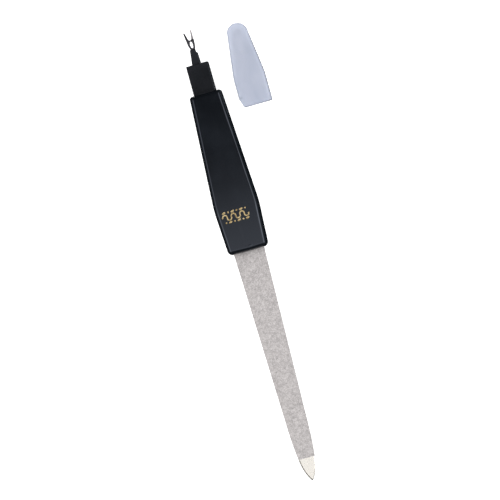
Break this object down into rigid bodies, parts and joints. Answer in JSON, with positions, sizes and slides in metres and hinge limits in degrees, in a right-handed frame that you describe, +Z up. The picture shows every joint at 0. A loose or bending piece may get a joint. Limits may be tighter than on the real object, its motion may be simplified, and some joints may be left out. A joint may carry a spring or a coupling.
{
  "type": "nail file with cuticle trimmer",
  "caption": "Slim pocket manicure tool: grit nail file at one end of a moulded handle, small forked cuticle trimmer at the other, translucent pull-off cap lying beside it.",
  "frame": {"origin": "middle of the handle's flat underside, the face that the tool rests on", "axes": "+Y along the tool towards the trimmer fork, +X across it towards the cap, +Z up out of the face with the flourish"},
  "size_m": [0.0305, 0.1656, 0.0071],
  "materials": {
    "handle_plastic": "polished injection-moulded black ABS",
    "holder_plastic": "satin injection-moulded black ABS",
    "blade_steel": "nickel-plated spring steel, tip ground and polished",
    "corundum_grit": "fine corundum grit bonded in nickel",
    "fork_steel": "stamped and hardened steel with black oxide, one tine ground bright",
    "gold_foil": "hot-stamped gold foil",
    "cap_plastic": "translucent lavender-grey moulded polystyrene"
  },
  "bodies": {
    "tool": {"handle_front_moulding": "handle_plastic", "handle_back_moulding": "handle_plastic", "file_blade": "blade_steel", "abrasive_front": "corundum_grit", "abrasive_back": "corundum_grit", "trimmer_holder": "holder_plastic", "trimmer_fork": "fork_steel", "foil_flourish": "gold_foil"},
    "cap": {"trimmer_cap": "cap_plastic"}
  },
  "joints": [
    {"name": "cap_off", "type": "slide", "parent": "tool", "child": "cap", "axis": [-0.271, 0.9626, 0], "range_m": [0, 0.06181]}
  ]
}
